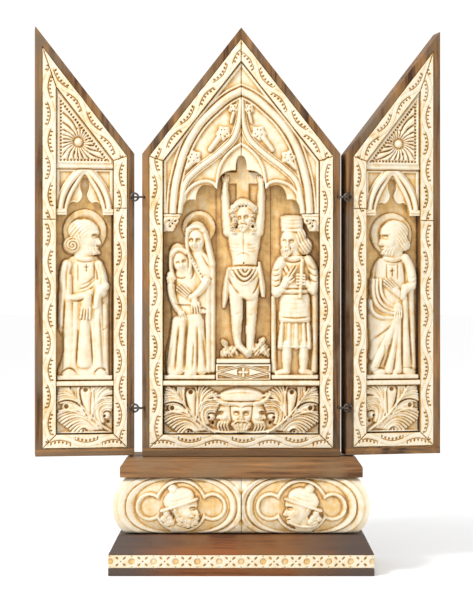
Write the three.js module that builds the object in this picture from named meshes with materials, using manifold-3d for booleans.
// A folding altarpiece of wood and carved bone: a gabled centre panel on a moulded base,
// and two wings on wire hinges, the left one swung a little forward and the right one back.
// Millimetres, +Z up, the front towards -Y, the origin in the middle of the underside.
import * as THREE from "three";
import { mergeVertices } from "three/addons/utils/BufferGeometryUtils.js";
import Module from "manifold-3d";

const wasm = await Module();
wasm.setup();

// Fits
const GAP = 0.3; // between pieces that touch
const REACH = 1; // how far a cut runs past the face it opens

// Base
const BASE_WIDTH = 181.2;
const BASE_DEPTH = 83.4;
const LIP_HEIGHT = 5.3;
const BAND_HEIGHT = 9.1;
const BAND_THICK = 2.4;
const CHAMFER_RISE = 12.6;
const CHAMFER_RUN = 6.8;
const ROLL_HEIGHT = 38.6;
const ROLL_BULGE = 12;
const ROLL_OVERHANG = 4.4; // of the bulge past the edge of the top board
const BLOCK_BACK = 33; // from the middle of the base to the back of the pedestal block
const TOP_WIDTH = 166.4;
const TOP_DEPTH = 68.6;
const TOP_EDGE = 7.2;
const TOP_CHAMFER = 4.4;

// Cases of the centre and the wings
const CASE_WIDTH = 139;
const SIDE_HEIGHT = 212;
const GABLE_RISE = 88.6;
const CASE_DEPTH = 22;
const WING_DEPTH = 16;
const CASE_FRONT = 8; // from the middle of the base to the face of the bone strips
const WOOD_BAND = 4.8;
const WOOD_BAND_BOTTOM = 5.4;
const STRIP_WIDTH = 9.3;
const STRIP_THICK = 2.5;
const STRIP_PROUD = 1; // of the strips over the wood round them
const RECESS = 16;
const WING_RECESS = 12.6;
const PLATE_THICK = 3.2;
const RELIEF_SETBACK = 1.5; // of the highest carving behind the strips
const STEEP = 0.4; // how far the foot of a standing edge lies outside its top
const WING_LIFT = 0.7; // of a wing over the foot of the centre case
const OUTER_JOINT = 165; // heights, over the foot of a case, where the side strips are pieced
const INNER_JOINT = 173;

// Plaques and ledges
const SHELF_LEVEL = 49.5; // over the foot of the centre case
const SHELF_HEIGHT = 3.4;
const FIGURE_HEIGHT = 107.8;
const FOOTING = 3.5;
const PLAQUE_HEIGHT = 152;
const SEAM_LEFT = -17.85;
const SEAM_RIGHT = 20.7;
const BLOCK_HEIGHT = 11;
const SPRING_LEVEL = 170.2; // over the foot of the centre case: the feet of the arches
const CAPITAL_WIDTH = 12.2;
const CAPITAL_HEIGHT = 12.4;
const TRACERY_BACK = 8.2;
const TRACERY_FACE = 4.6;
const MOULDING_FACE = 1.6;

// Hinges
const EYE_WIRE = 1.4;
const CASE_EYE = 2.2; // radius of the level eye in the case
const WING_EYE = 2.6; // radius of the upright eye in the wing
const EYE_BITE = 5;
const HINGE_GAP = 5; // between a wing and the case
const HINGE_PROUD = 1.5; // of the axis before the bone
const HINGE_LEVELS = [34, 181.5]; // over the foot of the centre case
const CLOSED_GAP = 1;
const LEFT_SWING = 8.5; // degrees forward of flat
const RIGHT_SWING = -12.5;

// Levels that follow
const bandTop = LIP_HEIGHT + BAND_HEIGHT;
const baseTop = bandTop + CHAMFER_RISE;
const rollFoot = baseTop + GAP;
const topBoardFoot = rollFoot + ROLL_HEIGHT + GAP;
const topBoardTop = topBoardFoot + TOP_EDGE + TOP_CHAMFER;
const caseFoot = topBoardTop + GAP;
const wingFoot = caseFoot + WING_LIFT;
const shelfFoot = caseFoot + SHELF_LEVEL;
const shelfTop = shelfFoot + SHELF_HEIGHT;
const springZ = caseFoot + SPRING_LEVEL;
const hingeX = CASE_WIDTH / 2 + HINGE_GAP / 2;
const wingWidth = hingeX - HINGE_GAP / 2 - CLOSED_GAP / 2;

const bone = () => new THREE.MeshStandardMaterial({ color: 0xeadcb4, roughness: 0.42 });
const wood = () => new THREE.MeshStandardMaterial({ color: 0x7b5238, roughness: 0.62 });
const iron = () => new THREE.MeshStandardMaterial({ color: 0x4b4641, roughness: 0.5, metalness: 0.9 });

function add(group, name, geometry, material) {
  const mesh = new THREE.Mesh(geometry, material);
  mesh.name = name;
  group.add(mesh);
}

// A closed surface from its points and triangles, turned to face outwards.
function shell(points, faces) {
  const at = (i) => new THREE.Vector3(...points[i]);
  const volume = faces.reduce((sum, [a, b, c]) => sum + at(a).dot(at(b).cross(at(c))), 0);
  const turned = volume < 0 ? faces.map(([a, b, c]) => [a, c, b]) : faces;
  const geometry = new THREE.BufferGeometry();
  geometry.setAttribute("position", new THREE.Float32BufferAttribute(points.flat(), 3));
  geometry.setIndex(turned.flat());
  return geometry;
}

// Rings of points joined one to the next, with a fan from the last point closing either end.
function loft(rings) {
  const n = rings[0].length;
  const faces = [];
  rings.slice(1).forEach((_, k) => {
    for (let j = 0; j < n; j++) {
      const a = k * n + j;
      const b = k * n + ((j + 1) % n);
      faces.push([a, b, b + n], [a, b + n, a + n]);
    }
  });
  const last = (rings.length - 1) * n;
  for (let j = 0; j < n - 2; j++) {
    faces.push([n - 1, j + 1, j], [last + n - 1, last + j, last + j + 1]);
  }
  return shell(rings.flat(), faces);
}

// An outline in the XZ plane given thickness from y0 back to y1.
function prism(outline, y0, y1, holes = []) {
  const shape = new THREE.Shape(outline.map(([x, z]) => new THREE.Vector2(x, z)));
  shape.holes = holes.map((hole) => new THREE.Path(hole.map(([x, z]) => new THREE.Vector2(x, z))));
  const slab = new THREE.ExtrudeGeometry(shape, { depth: y1 - y0, bevelEnabled: false });
  return slab.rotateX(Math.PI / 2).translate(0, y1, 0);
}

function solid(geometry) {
  const bare = geometry.clone();
  bare.deleteAttribute("normal");
  bare.deleteAttribute("uv");
  const { attributes, index } = mergeVertices(bare, 1e-4);
  const mesh = { numProp: 3, vertProperties: attributes.position.array };
  return new wasm.Manifold(new wasm.Mesh({ ...mesh, triVerts: new Uint32Array(index.array) }));
}

function surface(body) {
  const { vertProperties, triVerts } = body.getMesh();
  const geometry = new THREE.BufferGeometry();
  geometry.setAttribute("position", new THREE.BufferAttribute(vertProperties, 3));
  return geometry.setIndex(new THREE.BufferAttribute(triVerts, 1));
}

const union = (geometries) => geometries.map(solid).reduce((sum, body) => sum.add(body));
const mirrored = (outline, side) => outline.map(([x, z]) => [x * side, z]);
const mix = (a, b, t) => a + (b - a) * t;

// A convex outline, anticlockwise, with each side moved inwards by its own distance.
function inset(outline, distances) {
  const lines = outline.map(([x, z], i) => {
    const [nx, nz] = outline[(i + 1) % outline.length];
    const length = Math.hypot(nx - x, nz - z);
    const [a, b] = [-(nz - z) / length, (nx - x) / length];
    return [a, b, a * x + b * z + [distances].flat()[i % [distances].flat().length]];
  });
  return lines.map(([a, b, c], i) => {
    const [d, e, f] = lines[(i + lines.length - 1) % lines.length];
    const det = a * e - b * d;
    return [(c * e - b * f) / det, (a * f - c * d) / det];
  });
}

// Points along a cubic curve through the XZ plane.
function bezier(points, steps) {
  const curve = new THREE.CubicBezierCurve(...points.map(([x, z]) => new THREE.Vector2(x, z)));
  return curve.getPoints(steps).map(({ x, y }) => [x, y]);
}

// The outline of a moulding of even width along a row of points.
function ribbon(points, width) {
  const edge = (side) =>
    points.map(([x, z], i) => {
      const [ax, az] = points[Math.max(i - 1, 0)];
      const [bx, bz] = points[Math.min(i + 1, points.length - 1)];
      const reach = (side * width) / 2 / Math.hypot(bx - ax, bz - az);
      return [x - (bz - az) * reach, z + (bx - ax) * reach];
    });
  return [...edge(1), ...edge(-1).reverse()];
}

// Base

function box(xLow, xHigh, yLow, yHigh, z) {
  return [
    [xLow, yLow, z],
    [xHigh, yLow, z],
    [xHigh, yHigh, z],
    [xLow, yHigh, z],
  ];
}

function boardRing(width, depth, cut, z, cutBack = cut) {
  return box(-width / 2 + cut, width / 2 - cut, -depth / 2 + cut, depth / 2 - cutBack, z);
}

function addBoards(group) {
  const rebate = BAND_THICK + GAP;
  const board = [
    boardRing(BASE_WIDTH, BASE_DEPTH, 0, 0),
    boardRing(BASE_WIDTH, BASE_DEPTH, 0, LIP_HEIGHT),
    boardRing(BASE_WIDTH, BASE_DEPTH, rebate, LIP_HEIGHT, 0),
    boardRing(BASE_WIDTH, BASE_DEPTH, rebate, bandTop, 0),
    boardRing(BASE_WIDTH, BASE_DEPTH, 0, bandTop),
    boardRing(BASE_WIDTH, BASE_DEPTH, CHAMFER_RUN, baseTop),
  ];
  add(group, "base_board", loft(board), wood());
  const top = [
    boardRing(TOP_WIDTH, TOP_DEPTH, 0, topBoardFoot),
    boardRing(TOP_WIDTH, TOP_DEPTH, 0, topBoardFoot + TOP_EDGE),
    boardRing(TOP_WIDTH, TOP_DEPTH, TOP_CHAMFER, topBoardTop),
  ];
  add(group, "top_board", loft(top), wood());
}

function addBands(group) {
  const [x, y] = [BASE_WIDTH / 2, BASE_DEPTH / 2];
  const strip = (...sides) =>
    loft([box(...sides, LIP_HEIGHT + GAP / 2), box(...sides, bandTop - GAP / 2)]);
  add(group, "base_band_front", strip(-x, x, -y, BAND_THICK - y), bone());
  const fromFront = BAND_THICK + GAP - y;
  add(group, "base_band_left", strip(-x, BAND_THICK - x, fromFront, y), bone());
  add(group, "base_band_right", strip(x - BAND_THICK, x, fromFront, y), bone());
}

// The half-round section of the roll: how far each point stands out, and its height.
const ROLL_STEPS = 8;
const rollX = TOP_WIDTH / 2 + ROLL_OVERHANG - ROLL_BULGE;
const rollY = TOP_DEPTH / 2 + ROLL_OVERHANG - ROLL_BULGE;
const rollSection = Array.from({ length: ROLL_STEPS + 1 }, (_, j) => {
  const angle = Math.PI * (j / ROLL_STEPS - 0.5);
  return [ROLL_BULGE * Math.cos(angle), (ROLL_HEIGHT / 2) * (1 + Math.sin(angle))];
});

// Carving on a front roll, 0 to 1, by shares of its own length and height from its middle.
function rollCarving(u, v) {
  const oval = Math.hypot(u / 0.4, v / 0.46);
  const frame = Math.max(0, 1 - Math.abs(oval - 0.92) / 0.16);
  const head = 1.5 * Math.sqrt(Math.max(0, 1 - (u / 0.13) ** 2 - (v / 0.34) ** 2));
  const hollow = oval < 0.8 ? -0.7 : 0;
  return Math.max(frame, hollow, head - 0.5);
}

function addRolls(group) {
  const columns = 16;
  const carvingHeight = 2;
  for (const side of [-1, 1]) {
    const word = side < 0 ? "left" : "right";
    const rings = Array.from({ length: columns + 1 }, (_, i) =>
      rollSection.map(([out, z]) => {
        const share = i / columns;
        const inner = share > 0 && share < 1;
        const carved = inner ? rollCarving(share - 0.47, z / ROLL_HEIGHT - 0.5) : 0;
        const grown = out + carved * carvingHeight * Math.min(1, (2 * out) / ROLL_BULGE);
        const x = mix(GAP / 2, rollX + (inner ? grown : out), share);
        return [side * x, -rollY - Math.max(grown, out === 0 ? 0 : 0.5), rollFoot + z];
      }),
    );
    add(group, "roll_front_" + word, loft(rings), bone());
    const mitre = rollSection.map(([out, z]) => [side * (rollX + out), GAP - rollY - out, rollFoot + z]);
    const end = rollSection.map(([out, z]) => [side * (rollX + out), BLOCK_BACK, rollFoot + z]);
    add(group, "roll_side_" + word, loft([mitre, end]), bone());
  }
  const inside = [GAP - rollX, rollX - GAP, GAP - rollY, BLOCK_BACK];
  const block = [box(...inside, rollFoot), box(...inside, topBoardFoot - GAP)];
  add(group, "pedestal_block", loft(block), wood());
}

// Relief: a height from 0 to 1 over a flat ground. Places and sizes are shares of the
// figure's height, and low and high are the heights at a form's edge and along its middle.

const rounded = (q, low, high) => (q < 1 ? low + (high - low) * Math.sqrt(1 - q) : 0);

function dome(x, z, rx, rz, low, high, tilt = 0) {
  const [c, s] = [Math.cos(tilt), Math.sin(tilt)];
  return (u, v) => {
    const a = (c * (u - x) + s * (v - z)) / rx;
    const b = (c * (v - z) - s * (u - x)) / rz;
    return rounded(a * a + b * b, low, high);
  };
}

function limb(x1, z1, r1, x2, z2, r2, low, high) {
  const [dx, dz] = [x2 - x1, z2 - z1];
  return (u, v) => {
    const along = ((u - x1) * dx + (v - z1) * dz) / (dx * dx + dz * dz);
    const t = Math.min(1, Math.max(0, along));
    const away = Math.hypot(u - x1 - dx * t, v - z1 - dz * t) / mix(r1, r2, t);
    return rounded(away * away, low, high);
  };
}

// The left and right edge at a height, from rows of height, left and right.
function spanAt(rows, v) {
  const i = rows.findIndex(([z]) => z > v);
  if (i === 0 || (i < 0 && v > rows.at(-1)[0])) return null;
  const [a, b] = i < 0 ? [rows.at(-1), rows.at(-1)] : [rows[i - 1], rows[i]];
  const t = b[0] > a[0] ? (v - a[0]) / (b[0] - a[0]) : 0;
  return [mix(a[1], b[1], t), mix(a[2], b[2], t)];
}

function robe(rows, low, high) {
  return (u, v) => {
    const span = spanAt(rows, v);
    if (!span) return 0;
    const q = (2 * u - span[0] - span[1]) / (span[1] - span[0]);
    return rounded(q * q, low, high);
  };
}

// A ridge along a bent line, added to the forms under it.
function fold(x1, z1, x2, z2, x3, z3, width, rise) {
  const steps = 6;
  const line = Array.from({ length: steps + 1 }, (_, i) => {
    const t = i / steps;
    return [mix(mix(x1, x2, t), mix(x2, x3, t), t), mix(mix(z1, z2, t), mix(z2, z3, t), t)];
  });
  return (u, v) => {
    const away = Math.min(
      ...line.slice(1).map(([bx, bz], i) => {
        const [ax, az] = line[i];
        const [dx, dz] = [bx - ax, bz - az];
        const along = ((u - ax) * dx + (v - az) * dz) / (dx * dx + dz * dz);
        const t = Math.min(1, Math.max(0, along));
        return Math.hypot(u - ax - dx * t, v - az - dz * t);
      }),
    );
    return away < width ? rise * (1 - (away / width) ** 2) : 0;
  };
}

const carved = ({ forms, folds = [] }) => (u, v) => {
  const under = Math.max(0, ...forms.map((form) => form(u, v)));
  return under > 0 ? Math.min(1, folds.reduce((sum, crease) => sum + crease(u, v), under)) : 0;
};

// A slab with a carved face, its back at y = 0 and its foot at z = 0. The rows of points
// follow the figure's outline, so that its edge stands up straight from the ground.
function plaque({ width, height, unit, footing, depth, figure, rows, cells }) {
  const { outline, foot } = figure;
  const heightAt = carved(figure);
  const highest = outline.at(-1)[0];
  const top = Math.min(height - 2 * STEEP, footing + unit * highest);
  const levels = [0, STEEP / 2];
  if (footing > 0) levels.push(footing - STEEP / 2);
  for (let k = 0; k <= rows; k++) levels.push(mix(footing + STEEP / 2, top, k / rows));
  levels.push(top + STEEP, height);
  const edge = width / 2;
  const rings = levels.map((z, k) => {
    const v = Math.min(highest, Math.max(0, (z - footing) / unit));
    const [left, right] = spanAt(outline, v);
    const low = Math.max(left * unit, 2 * STEEP - edge);
    const high = Math.min(right * unit, edge - 2 * STEEP);
    const rise = (x) => {
      if (k === 0 || z > top) return 0;
      return z < footing ? foot : heightAt(x / unit, v);
    };
    const inside = Array.from({ length: cells + 1 }, (_, i) => {
      const x = mix(low, high, i / cells);
      return [x, -PLATE_THICK - depth * rise(mix((low + high) / 2, x, 0.97))];
    });
    const ground = (x) => [x, -PLATE_THICK];
    const line = [ground(-edge), ground(low - STEEP), ...inside, ground(high + STEEP), ground(edge)];
    return [...line, [edge, 0], [-edge, 0]].map(([x, y]) => [x, y, z]);
  });
  return loft(rings);
}

const haloRows = (x, z, r) =>
  [-0.6, 0, 0.5, 0.8, 0.95, 1].map((s) => {
    const half = r * Math.sqrt(1.01 - s * s);
    return [z + s * r, x - half, x + half];
  });

// A bearded man in a mantle, his hair knotted at the neck, one hand hanging before him.
function saintWithStole() {
  const cloak = [
    [0, -0.168, 0.162],
    [0.08, -0.15, 0.16],
    [0.17, -0.118, 0.158],
    [0.29, -0.17, 0.156],
    [0.45, -0.172, 0.154],
    [0.6, -0.165, 0.154],
    [0.7, -0.15, 0.13],
    [0.745, -0.122, 0.102],
    [0.775, -0.075, 0.08],
  ];
  return {
    foot: 0.8,
    outline: [...cloak, [0.8, -0.12, 0.105], ...haloRows(0.003, 0.937, 0.142)],
    forms: [
      dome(0.003, 0.937, 0.142, 0.142, 0.18, 0.24),
      robe(cloak, 0.32, 0.72),
      limb(0, 0.82, 0.05, 0, 0.75, 0.075, 0.35, 0.7),
      dome(0.006, 0.922, 0.086, 0.098, 0.4, 0.92),
      limb(0.03, 0.87, 0.055, 0.075, 0.805, 0.036, 0.4, 0.85),
      dome(-0.076, 0.839, 0.055, 0.055, 0.3, 0.7),
      limb(-0.095, 0.62, 0.04, -0.075, 0.52, 0.036, 0.5, 0.85),
      limb(-0.06, 0.53, 0.03, 0.03, 0.505, 0.024, 0.55, 0.92),
      limb(0.018, 0.487, 0.026, 0.002, 0.355, 0.018, 0.6, 0.95),
      limb(0.095, 0.62, 0.034, 0.085, 0.44, 0.018, 0.5, 0.88),
      limb(-0.005, 0.33, 0.026, -0.005, 0.085, 0.047, 0.62, 0.8),
    ],
    folds: [
      fold(-0.064, 0.46, -0.062, 0.25, -0.07, 0.03, 0.02, 0.16),
      fold(0.073, 0.44, 0.075, 0.25, 0.082, 0.03, 0.02, 0.16),
      fold(-0.1, 0.74, -0.135, 0.6, -0.14, 0.3, 0.024, 0.12),
      fold(0.09, 0.72, 0.125, 0.6, 0.125, 0.05, 0.022, 0.1),
    ],
  };
}

// A bearded man with loose hair, one hand on his breast and the other gathering his mantle.
function saintWithMantle() {
  const cloak = [
    [0, -0.16, 0.168],
    [0.05, -0.15, 0.163],
    [0.2, -0.138, 0.155],
    [0.4, -0.138, 0.16],
    [0.6, -0.135, 0.16],
    [0.66, -0.13, 0.163],
    [0.72, -0.112, 0.148],
    [0.76, -0.078, 0.115],
  ];
  return {
    foot: 0.8,
    outline: [...cloak, [0.79, -0.1, 0.12], ...haloRows(0.003, 0.919, 0.141)],
    forms: [
      dome(0.003, 0.919, 0.141, 0.141, 0.18, 0.24),
      robe(cloak, 0.32, 0.72),
      limb(0.006, 0.81, 0.05, 0.006, 0.74, 0.075, 0.35, 0.7),
      dome(0.015, 0.915, 0.08, 0.092, 0.4, 0.92),
      limb(-0.02, 0.855, 0.055, -0.058, 0.8, 0.036, 0.4, 0.85),
      limb(0.055, 0.91, 0.05, 0.1, 0.845, 0.036, 0.35, 0.75),
      limb(0.115, 0.73, 0.045, 0.128, 0.585, 0.036, 0.5, 0.88),
      limb(0.12, 0.575, 0.034, 0.05, 0.555, 0.03, 0.55, 0.92),
      limb(0.03, 0.56, 0.028, -0.03, 0.605, 0.016, 0.6, 0.95),
      dome(0.035, 0.425, 0.036, 0.036, 0.5, 0.9),
    ],
    folds: [
      fold(-0.12, 0.58, -0.12, 0.38, 0.02, 0.37, 0.02, 0.18),
      fold(-0.08, 0.58, -0.085, 0.43, 0.01, 0.4, 0.018, 0.18),
      fold(0.02, 0.36, -0.05, 0.25, -0.13, 0.21, 0.022, 0.16),
      fold(0, 0.3, -0.05, 0.18, -0.12, 0.08, 0.024, 0.16),
      fold(0.045, 0.34, 0.042, 0.2, 0.04, 0.04, 0.018, 0.16),
      fold(0.1, 0.42, 0.1, 0.2, 0.12, 0.04, 0.022, 0.14),
    ],
  };
}

// A standing veiled woman holds up another who leans against her.
function mourners() {
  const gowns = [
    [0, -0.158, 0.162],
    [0.05, -0.152, 0.162],
    [0.184, -0.138, 0.164],
    [0.37, -0.102, 0.166],
    [0.48, -0.115, 0.166],
    [0.56, -0.138, 0.166],
    [0.66, -0.14, 0.166],
    [0.76, -0.13, 0.164],
    [0.82, -0.11, 0.15],
    [0.862, -0.06, 0.12],
  ];
  return {
    foot: 0.8,
    outline: [...gowns, ...haloRows(0.06, 0.964, 0.107).slice(1)],
    forms: [
      dome(0.06, 0.964, 0.107, 0.107, 0.18, 0.24),
      robe(gowns, 0.3, 0.55),
      limb(0.1, 0.76, 0.06, 0.1, 0.1, 0.062, 0.35, 0.66),
      dome(0.05, 0.905, 0.07, 0.092, 0.35, 0.85),
      dome(0.043, 0.871, 0.048, 0.066, 0.55, 0.8),
      limb(-0.01, 0.9, 0.018, 0.045, 0.67, 0.026, 0.5, 0.85),
      limb(0.085, 0.87, 0.024, 0.125, 0.75, 0.034, 0.4, 0.7),
      limb(-0.05, 0.66, 0.072, -0.03, 0.45, 0.08, 0.45, 0.82),
      dome(-0.055, 0.765, 0.066, 0.092, 0.45, 0.95, 0.3),
      dome(-0.042, 0.725, 0.042, 0.06, 0.6, 0.98, 0.3),
      limb(0.11, 0.56, 0.034, 0.03, 0.52, 0.03, 0.5, 0.88),
      limb(-0.014, 0.506, 0.03, -0.07, 0.58, 0.016, 0.6, 0.95),
      limb(-0.105, 0.57, 0.032, -0.06, 0.43, 0.026, 0.5, 0.88),
      limb(-0.055, 0.43, 0.024, -0.03, 0.375, 0.016, 0.55, 0.9),
      limb(-0.06, 0.36, 0.035, -0.09, 0.05, 0.05, 0.4, 0.72),
      limb(0.02, 0.4, 0.04, 0.03, 0.06, 0.06, 0.4, 0.72),
    ],
    folds: [
      fold(-0.05, 0.37, -0.085, 0.2, -0.12, 0.03, 0.018, 0.14),
      fold(-0.03, 0.37, -0.05, 0.2, -0.06, 0.03, 0.016, 0.16),
      fold(0, 0.39, -0.005, 0.2, -0.005, 0.03, 0.016, 0.16),
      fold(0.03, 0.39, 0.045, 0.2, 0.055, 0.03, 0.016, 0.16),
      fold(0.06, 0.37, 0.09, 0.25, 0.1, 0.03, 0.018, 0.16),
      fold(0.14, 0.55, 0.14, 0.3, 0.145, 0.04, 0.018, 0.14),
    ],
  };
}

// A bearded man in a tall hat and a cape, with a belted tunic, a baton and bare legs.
function soldier() {
  const cape = [
    [0, -0.15, 0.148],
    [0.1, -0.152, 0.14],
    [0.3, -0.154, 0.142],
    [0.5, -0.154, 0.148],
    [0.62, -0.15, 0.148],
    [0.7, -0.135, 0.13],
    [0.75, -0.11, 0.095],
    [0.78, -0.088, 0.085],
  ];
  const tunic = [
    [0.17, -0.118, 0.088],
    [0.34, -0.105, 0.088],
    [0.55, -0.1, 0.088],
    [0.7, -0.12, 0.11],
    [0.775, -0.07, 0.06],
  ];
  return {
    foot: 0.8,
    outline: [...cape, [0.82, -0.095, 0.1], [0.88, -0.1, 0.07], [0.91, -0.103, 0.036], [1.03, -0.1, 0.034]],
    forms: [
      robe(cape, 0.25, 0.4),
      robe(tunic, 0.45, 0.8),
      limb(-0.058, 0.2, 0.036, -0.055, 0.03, 0.03, 0.4, 0.75),
      limb(0.052, 0.2, 0.034, 0.05, 0.03, 0.028, 0.4, 0.75),
      limb(-0.06, 0.03, 0.03, -0.11, 0.015, 0.02, 0.4, 0.7),
      limb(0.045, 0.03, 0.03, 0.08, 0.015, 0.022, 0.4, 0.7),
      limb(-0.125, 0.67, 0.034, -0.118, 0.5, 0.038, 0.45, 0.85),
      limb(-0.1, 0.55, 0.03, -0.03, 0.66, 0.018, 0.6, 0.95),
      limb(0.105, 0.67, 0.035, 0.1, 0.56, 0.035, 0.45, 0.85),
      limb(0.09, 0.56, 0.028, 0.04, 0.61, 0.026, 0.5, 0.88),
      limb(0.035, 0.74, 0.016, 0.025, 0.51, 0.016, 0.6, 0.95),
      dome(-0.034, 0.865, 0.062, 0.09, 0.4, 0.85),
      dome(-0.05, 0.81, 0.05, 0.05, 0.4, 0.8),
      limb(0.03, 0.89, 0.03, 0.07, 0.8, 0.032, 0.35, 0.7),
      limb(-0.085, 0.975, 0.05, 0.015, 0.975, 0.05, 0.55, 0.75),
    ],
    folds: [
      fold(-0.09, 0.545, 0, 0.535, 0.085, 0.545, 0.016, 0.1),
      fold(-0.1, 0.36, 0, 0.345, 0.088, 0.36, 0.016, 0.1),
      fold(-0.145, 0.6, -0.145, 0.3, -0.148, 0.03, 0.018, 0.16),
      fold(0.12, 0.6, 0.125, 0.3, 0.125, 0.05, 0.018, 0.16),
    ],
  };
}

// The crucified, arms drawn up to the cross bar, over rocky ground.
function crucified() {
  const torso = [
    [0.56, -0.095, 0.085],
    [0.66, -0.082, 0.085],
    [0.76, -0.1, 0.105],
    [0.83, -0.095, 0.1],
  ];
  const cloth = [
    [0.39, -0.02, 0.08],
    [0.44, -0.075, 0.1],
    [0.52, -0.095, 0.11],
    [0.61, -0.098, 0.1],
  ];
  const arm = (side) => [
    limb(0.122 * side, 1.17, 0.022, 0.119 * side, 1.1, 0.026, 0.25, 0.36),
    limb(0.119 * side, 1.1, 0.03, 0.115 * side, 0.98, 0.032, 0.25, 0.5),
    limb(0.115 * side, 0.98, 0.032, 0.09 * side, 0.81, 0.038, 0.3, 0.7),
  ];
  return {
    foot: 0.7,
    outline: [
      [0, -0.166, 0.166],
      [0.06, -0.165, 0.165],
      [0.14, -0.12, 0.14],
      [0.25, -0.105, 0.11],
      [0.32, -0.155, 0.12],
      [0.4, -0.145, 0.152],
      [0.58, -0.12, 0.125],
      [0.66, -0.1, 0.105],
      [0.76, -0.112, 0.115],
      [0.83, -0.13, 0.14],
      [0.95, -0.15, 0.15],
      [1.19, -0.15, 0.15],
      [1.23, -0.128, 0.135],
      [1.24, -0.05, 0.04],
      [1.36, -0.05, 0.04],
    ],
    forms: [
      limb(-0.005, 1.4, 0.045, -0.005, 0.8, 0.045, 0.22, 0.27),
      limb(-0.11, 1.185, 0.04, 0.12, 1.185, 0.04, 0.2, 0.26),
      dome(-0.11, 0.03, 0.07, 0.11, 0.3, 0.62),
      dome(0.115, 0.04, 0.06, 0.12, 0.3, 0.62),
      dome(0, 0, 0.16, 0.05, 0.5, 0.75),
      robe(torso, 0.35, 0.8),
      ...arm(-1),
      ...arm(1),
      dome(-0.008, 0.94, 0.085, 0.11, 0.35, 0.85),
      dome(-0.012, 0.915, 0.052, 0.08, 0.55, 0.95, 0.15),
      limb(-0.045, 0.46, 0.045, -0.055, 0.25, 0.038, 0.4, 0.85),
      limb(-0.055, 0.25, 0.038, -0.05, 0.1, 0.026, 0.4, 0.85),
      limb(-0.045, 0.095, 0.03, 0.02, 0.035, 0.028, 0.45, 0.9),
      limb(0.058, 0.44, 0.045, 0.048, 0.22, 0.036, 0.4, 0.8),
      limb(0.048, 0.22, 0.036, 0.038, 0.08, 0.026, 0.4, 0.8),
      robe(cloth, 0.45, 0.92),
      limb(-0.1, 0.59, 0.024, -0.125, 0.34, 0.024, 0.35, 0.65),
      limb(0.105, 0.59, 0.026, 0.128, 0.41, 0.022, 0.35, 0.65),
    ],
    folds: [
      fold(-0.08, 0.6, 0.02, 0.33, 0.09, 0.58, 0.014, 0.1),
      fold(-0.04, 0.6, 0.02, 0.42, 0.07, 0.6, 0.012, 0.1),
    ],
  };
}

// A leaf whose lobes spread from one point, between two angles in degrees.
function leaf(x, z, from, to, lobes, length, width) {
  return Array.from({ length: lobes }, (_, i) => {
    const angle = THREE.MathUtils.degToRad(mix(from, to, i / (lobes - 1)));
    const reach = length * (i % 2 ? 0.86 : 1);
    const tip = [x + reach * Math.cos(angle), z + reach * Math.sin(angle)];
    return limb(x, z, width * 0.45, ...tip, width, 0.4, 0.8);
  });
}

const panelRows = (height, half) => [
  [0, -half, half],
  [height, -half, half],
];

// Leaves spreading from the lower corner beside the hinge, by shares of the plaque's width.
function foliage(side) {
  return {
    outline: panelRows(0.79, 0.49),
    forms: [
      ...leaf(-0.44 * side, 0.05, 90 - 78 * side, 90 + 2 * side, 5, 0.72, 0.085),
      dome(0.3 * side, 0.16, 0.16, 0.13, 0.35, 0.85),
      dome(0.02 * side, 0.62, 0.14, 0.13, 0.35, 0.85),
      limb(-0.46 * side, 0.02, 0.05, 0.42 * side, 0.04, 0.04, 0.4, 0.7),
    ],
  };
}

// A mask with a broad hat and three bearded faces, and a spray of leaves at either side.
// Its shares are of half the plaque's width.
function mask() {
  const spray = (side) => [
    ...leaf(0.52 * side, 0.09, 90 - 82 * side, 90 - 8 * side, 6, 0.44, 0.05),
    limb(0.16 * side, 0.035, 0.03, 0.52 * side, 0.09, 0.035, 0.4, 0.75),
    dome(0.42 * side, 0.25, 0.09, 0.12, 0.3, 0.7),
    dome(0.19 * side, 0.25, 0.1, 0.17, 0.4, 0.75),
    dome(0.19 * side, 0.12, 0.09, 0.08, 0.4, 0.78),
  ];
  return {
    outline: panelRows(0.575, 0.985),
    forms: [
      ...spray(-1),
      ...spray(1),
      dome(0, 0.46, 0.27, 0.11, 0.45, 0.85),
      dome(0, 0.41, 0.36, 0.05, 0.5, 0.9),
      dome(0, 0.26, 0.13, 0.17, 0.5, 0.95),
      dome(0, 0.13, 0.12, 0.1, 0.5, 0.92),
    ],
  };
}

// Cases

const centreOutline = [
  [-CASE_WIDTH / 2, caseFoot],
  [CASE_WIDTH / 2, caseFoot],
  [CASE_WIDTH / 2, caseFoot + SIDE_HEIGHT],
  [0, caseFoot + SIDE_HEIGHT + GABLE_RISE],
  [-CASE_WIDTH / 2, caseFoot + SIDE_HEIGHT],
];
// A wing's outline is drawn from the hinge axis outwards.
const wingApexRise = (GABLE_RISE * wingWidth) / (CASE_WIDTH / 2);
const wingOutline = [
  [HINGE_GAP / 2, wingFoot],
  [HINGE_GAP / 2 + wingWidth, wingFoot],
  [HINGE_GAP / 2 + wingWidth, caseFoot + SIDE_HEIGHT + wingApexRise],
  [HINGE_GAP / 2, caseFoot + SIDE_HEIGHT],
];
const bandOf = (outline) => outline.map((_, i) => (i === 0 ? WOOD_BAND_BOTTOM : WOOD_BAND));
const bed = (outline) => inset(outline, bandOf(outline));
const opening = (outline) => inset(bed(outline), STRIP_WIDTH + GAP);
const centreOpening = opening(centreOutline);
const wingOpening = opening(wingOutline);

function cylinderAlongY(x, y0, y1, z, radius) {
  const rod = new THREE.CylinderGeometry(radius, radius, y1 - y0, 8);
  return rod.translate(x, (y0 + y1) / 2, z);
}

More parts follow.
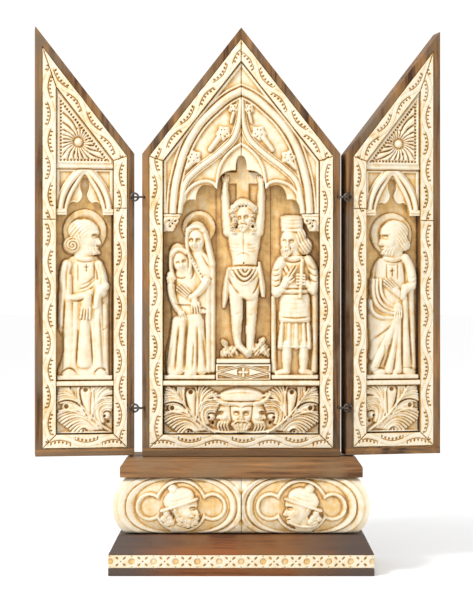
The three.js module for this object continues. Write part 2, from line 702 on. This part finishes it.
// A wooden tray: a rebate for the strips, a deeper recess, and a hole for each hinge eye.
function tray(outline, side, front, depth, recess, eyes) {
  const place = (points) => mirrored(points, side);
  const cutFront = front - REACH;
  const block = solid(prism(place(outline), front + STRIP_PROUD, front + depth));
  const rebate = solid(prism(place(bed(outline)), cutFront, front + STRIP_THICK + GAP));
  const hollow = solid(prism(place(opening(outline)), cutFront, front + recess));
  const holeEnd = front + STRIP_PROUD + EYE_BITE + GAP;
  const hollowed = block.subtract(rebate).subtract(hollow);
  const drilled = eyes.reduce(
    (body, [x, z]) =>
      body.subtract(solid(cylinderAlongY(x, cutFront, holeEnd, z, EYE_WIRE / 2 + GAP))),
    hollowed,
  );
  return surface(drilled);
}

// The bone strip along one side of an outline, mitred at its ends, or part of it between levels.
function strip(outline, index, side, front, levels = [-Infinity, Infinity]) {
  const outer = inset(bed(outline), GAP);
  const inner = inset(outer, STRIP_WIDTH);
  const next = (index + 1) % outline.length;
  const whole = inset([outer[index], outer[next], inner[next], inner[index]], [0, GAP / 2, 0, GAP / 2]);
  const [low, high] = levels;
  const clipped = whole.map(([x, z], i) => {
    if (z >= low && z <= high) return [x, z];
    const [mx, mz] = whole[[1, 0, 3, 2][i]];
    const level = z < low ? low : high;
    return [mix(x, mx, (level - z) / (mz - z)), level];
  });
  return prism(mirrored(clipped, side), front, front + STRIP_THICK);
}

// Hinges

// One wire eye: a shank driven in along Y that bends into an open ring.
function eye(shank, ring) {
  const points = [...shank, ...ring].map((p) => new THREE.Vector3(...p));
  const sides = 5;
  const section = new THREE.Shape(
    Array.from({ length: sides }, (_, k) => {
      const angle = (2 * Math.PI * k) / sides;
      return new THREE.Vector2(Math.cos(angle), Math.sin(angle)).multiplyScalar(EYE_WIRE / 2);
    }),
  );
  const path = new THREE.CatmullRomCurve3(points);
  return new THREE.ExtrudeGeometry(section, { steps: 12, extrudePath: path });
}

const shankFace = HINGE_PROUD + STRIP_PROUD;
const caseShankX = HINGE_GAP / 2 + 1.5;
const wingShankX = 2 * WING_EYE;
const ringAngles = (from, turn) =>
  Array.from({ length: 8 }, (_, i) => THREE.MathUtils.degToRad(from + (turn * i) / 7));

// Both eyes are drawn about the hinge axis, with the wing on the +X side.
function caseEye(side, z) {
  const ring = ringAngles(200, 290).map((a) => [side * CASE_EYE * Math.cos(a), CASE_EYE * Math.sin(a), z]);
  const shank = [
    [-side * caseShankX, shankFace + EYE_BITE, z],
    [-side * caseShankX, shankFace, z],
    [-side * (CASE_EYE + 0.8), shankFace * 0.35, z],
  ];
  return eye(shank, ring);
}

function wingEye(side, z) {
  const ring = ringAngles(20, 300).map((a) => {
    return [side * WING_EYE * (1 + Math.cos(a)), 0, z + WING_EYE * Math.sin(a)];
  });
  const shank = [
    [side * wingShankX, shankFace + EYE_BITE, z],
    [side * wingShankX, shankFace, z],
    [side * wingShankX, shankFace * 0.35, z],
  ];
  return eye(shank, ring);
}

// Centre panel

const strips = ["bottom", "right", "gable_right", "gable_left", "left"];

// Half of the pierced tracery under the gable, drawn on the right and placed on either side.
function tracery(side) {
  const [, , shoulder, apex] = inset(centreOpening, GAP);
  const rise = apex[1] - springZ;
  const at = ([x, z]) => [x * shoulder[0], springZ + z * rise];
  const lobes = [
    [0, 0.383, 0.07, 0.383, 0.07, 0.287],
    [0.07, 0.287, 0.31, 0.29, 0.31, 0.163],
    [0.31, 0.163, 0.56, 0.24, 0.585, 0.091],
    [0.585, 0.091, 0.75, 0.11, 0.756, 0],
  ];
  const edge = lobes.flatMap(([x1, z1, x2, z2, x3, z3], k) => {
    const steps = 4;
    const curve = Array.from({ length: steps + 1 }, (_, i) => {
      const t = i / steps;
      return at([mix(mix(x1, x2, t), mix(x2, x3, t), t), mix(mix(z1, z2, t), mix(z2, z3, t), t)]);
    });
    return curve.slice(k ? 1 : 0);
  });
  edge[0][0] = GAP / 2;
  const slope = (apex[1] - shoulder[1]) / shoulder[0];
  const outline = [...edge, [shoulder[0], springZ], shoulder, [GAP / 2, apex[1] - (slope * GAP) / 2]];
  const place = (points) => mirrored(points, side);
  const front = -CASE_FRONT;
  const cell = solid(prism(place(outline), front, front + TRACERY_BACK));
  const plate = prism(place(outline), front + TRACERY_FACE, front + TRACERY_BACK);
  const moulding = (points, width) =>
    prism(place(ribbon(points, width)), front + MOULDING_FACE, front + TRACERY_FACE + GAP);
  const arch = bezier([[0.87, -0.02], [0.87, 0.39], [0.54, 0.716], [-0.06, 0.8]].map(at), 9);
  const ogee = bezier([[0.8, -0.02], [0.7, 0.345], [0.06, 0.3], [-0.01, 0.7]].map(at), 9);
  const crockets = [
    [0.6, 0.356, 4.6],
    [0.225, 0.52, 4.6],
    [0.085, 0.68, 3.4],
  ].map(([x, z, radius]) => {
    const [cx, cz] = at([x, z]);
    const knob = new THREE.IcosahedronGeometry(radius, 0);
    return knob.translate(side * cx, front + TRACERY_FACE + 0.4, cz);
  });
  const raised = union([moulding(arch, 7), moulding(ogee, 5), ...crockets]).intersect(cell);
  return surface(solid(plate).add(raised));
}

function capital(side) {
  const outer = centreOpening[2][0] - GAP;
  const inner = outer - CAPITAL_WIDTH;
  const front = MOULDING_FACE - CASE_FRONT;
  const back = RECESS - PLATE_THICK - 2 * GAP - CASE_FRONT;
  const top = springZ - GAP;
  const levels = [
    [inner, front, top],
    [inner + 0.8, front + 0.4, top - CAPITAL_HEIGHT * 0.14],
    [inner, front + 0.2, top - CAPITAL_HEIGHT * 0.3],
    [inner + 2.6, front + 2.4, top - CAPITAL_HEIGHT * 0.6],
    [inner + 4.6, front + 4.4, top - CAPITAL_HEIGHT],
  ];
  return loft(
    levels.map(([from, y, z]) => [
      [side * from, y, z],
      [side * outer, y, z],
      [side * outer, back, z],
      [side * from, back, z],
    ]),
  );
}

// The room that a plaque leaves in front of its ground for the capital at its upper corner.
function capitalRoom(side) {
  const outer = side * (centreOpening[2][0] + GAP);
  const inner = side * (centreOpening[2][0] - 2 * GAP - CAPITAL_WIDTH);
  const sides = [Math.min(outer, inner), Math.max(outer, inner), -CASE_FRONT - REACH];
  const back = RECESS - PLATE_THICK - 2 * GAP - CASE_FRONT;
  const [low, high] = [springZ - 2 * GAP - CAPITAL_HEIGHT, springZ];
  return loft([box(...sides, back, low), box(...sides, back, high)]);
}

function addCentre(group) {
  const front = -CASE_FRONT;
  const eyes = [-1, 1].flatMap((side) =>
    HINGE_LEVELS.map((level) => [side * (hingeX - caseShankX), caseFoot + level]),
  );
  add(group, "centre_case", tray(centreOutline, 1, front, CASE_DEPTH, RECESS, eyes), wood());
  strips.forEach((word, i) => {
    add(group, "centre_strip_" + word, strip(centreOutline, i, 1, front), bone());
  });
  for (const side of [-1, 1]) {
    const word = side < 0 ? "left" : "right";
    add(group, "tracery_" + word, tracery(side), bone());
    add(group, "capital_" + word, capital(side), bone());
  }
  addCentrePlaques(group);
}

function place(group, name, geometry, x, y, z) {
  add(group, name, geometry.translate(x, y, z), bone());
}

function addCentrePlaques(group) {
  const back = RECESS - GAP - CASE_FRONT;
  const depth = RECESS - GAP - PLATE_THICK - RELIEF_SETBACK;
  const half = centreOpening[2][0] - GAP;
  const shared = { unit: FIGURE_HEIGHT, footing: FOOTING, depth, rows: 20, cells: 8 };
  const stand = shelfTop + GAP;
  const between = (name, figure, left, right, foot, height) => {
    const width = right - left;
    const slab = plaque({ ...shared, width, height, figure });
    slab.translate((left + right) / 2, back, foot);
    const room = union([capitalRoom(-1), capitalRoom(1)]);
    add(group, name, surface(solid(slab).subtract(room)), bone());
  };
  between("mourners_plaque", mourners(), -half, SEAM_LEFT - GAP / 2, stand, PLAQUE_HEIGHT);
  between("soldier_plaque", soldier(), SEAM_RIGHT + GAP / 2, half, stand, PLAQUE_HEIGHT);
  const middle = [SEAM_LEFT + GAP / 2, SEAM_RIGHT - GAP / 2];
  const blockTop = stand + BLOCK_HEIGHT;
  between("crucifixion_plaque", crucified(), ...middle, blockTop + GAP, PLAQUE_HEIGHT);
  const blockFront = back - PLATE_THICK - depth * 0.8;
  const blockSides = [...middle, blockFront, back];
  add(group, "crucifixion_block", loft([box(...blockSides, stand), box(...blockSides, blockTop)]), bone());
  const shelfSides = [-half, half, RELIEF_SETBACK - CASE_FRONT, back];
  add(group, "centre_shelf", loft([box(...shelfSides, shelfFoot), box(...shelfSides, shelfTop)]), bone());
  const foot = centreOpening[0][1] + GAP;
  const height = shelfFoot - GAP - foot;
  const sizes = { width: 2 * half, height, unit: half, footing: 0, depth, rows: 8, cells: 24 };
  place(group, "mask_plaque", plaque({ ...sizes, figure: mask() }), 0, back, foot);
}

// Wings, drawn flat about the hinge axis at X = 0, Y = 0, reaching to +X times side

// The slab in a wing's gable: a rosette in the triangle, over an arch with a pierced keyhole.
function gable(side) {
  const [near, far, apex, shoulder] = inset(wingOpening, GAP);
  const front = HINGE_PROUD;
  const width = far[0] - near[0];
  const middle = (near[0] + far[0]) / 2;
  const sill = shoulder[1] - 6;
  const height = sill - springZ;
  const at = ([x, z]) => [middle + (x * width) / 2, springZ + z * height];
  const lobes = [
    [-0.62, -0.04],
    [-0.6, 0.22],
    [-0.38, 0.3],
    [-0.14, 0.25],
    [-0.1, 0.42],
    [-0.2, 0.58],
    [-0.14, 0.72],
    [0, 0.8],
    [0.14, 0.72],
    [0.2, 0.58],
    [0.1, 0.42],
    [0.14, 0.25],
    [0.38, 0.3],
    [0.6, 0.22],
    [0.62, -0.04],
  ].map(at);
  const outline = [[near[0], springZ - 1], ...lobes, [far[0], springZ - 1], apex, shoulder];
  const placed = (points) => mirrored(points, side);
  const bandOver = (points) =>
    prism(placed(points), front + MOULDING_FACE, front + TRACERY_FACE + GAP);
  const cell = solid(prism(placed(outline), front, front + TRACERY_BACK));
  const plate = prism(placed(outline), front + TRACERY_FACE, front + TRACERY_BACK);
  const curve = (x) => bezier([[x, -0.1], [x, 0.45], [x * 0.5, 0.75], [0, 0.98]].map(at), 6);
  const panel = inset([[near[0], sill + 2], [far[0], sill + 2], apex, shoulder], 2.6);
  const centre = [mix(panel[1][0], panel[0][0], 0.38), mix(panel[0][1], panel[2][1], 0.3)];
  const rays = 11;
  const flutes = Array.from({ length: rays }, (_, k) => {
    const [a, b] = [k, k + 0.55].map((turn) => (2 * Math.PI * turn) / rays);
    const reach = width;
    const tip = (angle) => [centre[0] + reach * Math.cos(angle), centre[1] + reach * Math.sin(angle)];
    return bandOver([centre, tip(a), tip(b)]);
  });
  const boss = new THREE.IcosahedronGeometry(3.2, 0);
  boss.translate(side * centre[0], front + TRACERY_FACE - 0.6, centre[1]);
  const field = solid(prism(placed(panel), front, front + TRACERY_BACK));
  const rosette = union([...flutes, boss]).intersect(field);
  const frame = union([
    bandOver(ribbon(curve(-0.84), 3.4)),
    bandOver(ribbon(curve(0.84), 3.4)),
    bandOver([[near[0], sill], [far[0], sill], [far[0], sill + 3], [near[0], sill + 3]]),
    bandOver([[near[0], springZ - 1], at([-0.62, -0.04]), at([-0.62, 0.1]), [near[0], springZ + 3]]),
    bandOver([at([0.62, -0.04]), [far[0], springZ - 1], [far[0], springZ + 3], at([0.62, 0.1])]),
  ]).intersect(cell);
  return surface(solid(plate).add(frame).add(rosette));
}

function addWing(group, side, figure) {
  const word = side < 0 ? "left" : "right";
  const front = HINGE_PROUD;
  const eyes = HINGE_LEVELS.map((level) => [side * wingShankX, caseFoot + level]);
  const wing = (name, geometry) => add(group, word + "_wing_" + name, geometry, bone());
  const body = tray(wingOutline, side, front, WING_DEPTH, WING_RECESS, eyes);
  add(group, word + "_wing_case", body, wood());
  const sideStrip = (index, low, high) => strip(wingOutline, index, side, front, [low, high]);
  const outerJoint = wingFoot + OUTER_JOINT;
  const innerJoint = wingFoot + INNER_JOINT;
  wing("strip_bottom", sideStrip(0, -Infinity, Infinity));
  wing("strip_outer_lower", sideStrip(1, -Infinity, outerJoint - GAP / 2));
  wing("strip_outer_upper", sideStrip(1, outerJoint + GAP / 2, Infinity));
  wing("strip_slope", sideStrip(2, -Infinity, Infinity));
  wing("strip_inner_upper", sideStrip(3, innerJoint + GAP / 2, Infinity));
  wing("strip_inner_lower", sideStrip(3, -Infinity, innerJoint - GAP / 2));
  wing("gable", gable(side));
  const [near, far] = inset(wingOpening, GAP);
  const width = far[0] - near[0];
  const middle = (side * (near[0] + far[0])) / 2;
  const back = front + WING_RECESS - GAP;
  const depth = WING_RECESS - GAP - PLATE_THICK - RELIEF_SETBACK;
  const carving = { width, footing: FOOTING, unit: FIGURE_HEIGHT, depth, rows: 20, cells: 8 };
  const slab = plaque({ ...carving, height: PLAQUE_HEIGHT, figure });
  place(group, word + "_wing_saint", slab, middle, back, shelfTop + GAP);
  const shelfSides = [middle - width / 2, middle + width / 2, front + RELIEF_SETBACK, back];
  wing("shelf", loft([box(...shelfSides, shelfFoot), box(...shelfSides, shelfTop)]));
  const foot = near[1];
  const height = shelfFoot - GAP - foot;
  const sizes = { width, height, unit: width, footing: 0, depth, rows: 9, cells: 10 };
  const leaves = plaque({ ...sizes, figure: foliage(side) });
  place(group, word + "_wing_foliage", leaves, middle, back, foot);
}

function addHinges(root, wings) {
  for (const side of [-1, 1]) {
    const word = side < 0 ? "left" : "right";
    HINGE_LEVELS.forEach((level, i) => {
      const which = i ? "upper" : "lower";
      const z = caseFoot + level;
      const axis = [side * hingeX, -CASE_FRONT - HINGE_PROUD, 0];
      add(root, word + "_hinge_" + which + "_case_eye", caseEye(side, z).translate(...axis), iron());
      add(wings[word], word + "_hinge_" + which + "_wing_eye", wingEye(side, z), iron());
    });
  }
}

const altarpiece = new THREE.Group();
addBoards(altarpiece);
addBands(altarpiece);
addRolls(altarpiece);
addCentre(altarpiece);

const wings = { left: new THREE.Group(), right: new THREE.Group() };
addWing(wings.left, -1, saintWithStole());
addWing(wings.right, 1, saintWithMantle());
addHinges(altarpiece, wings);
const axisY = -CASE_FRONT - HINGE_PROUD;
wings.left.position.set(-hingeX, axisY, 0);
wings.left.rotation.z = THREE.MathUtils.degToRad(LEFT_SWING);
wings.right.position.set(hingeX, axisY, 0);
wings.right.rotation.z = THREE.MathUtils.degToRad(-RIGHT_SWING);
altarpiece.add(wings.left, wings.right);

export default altarpiece;
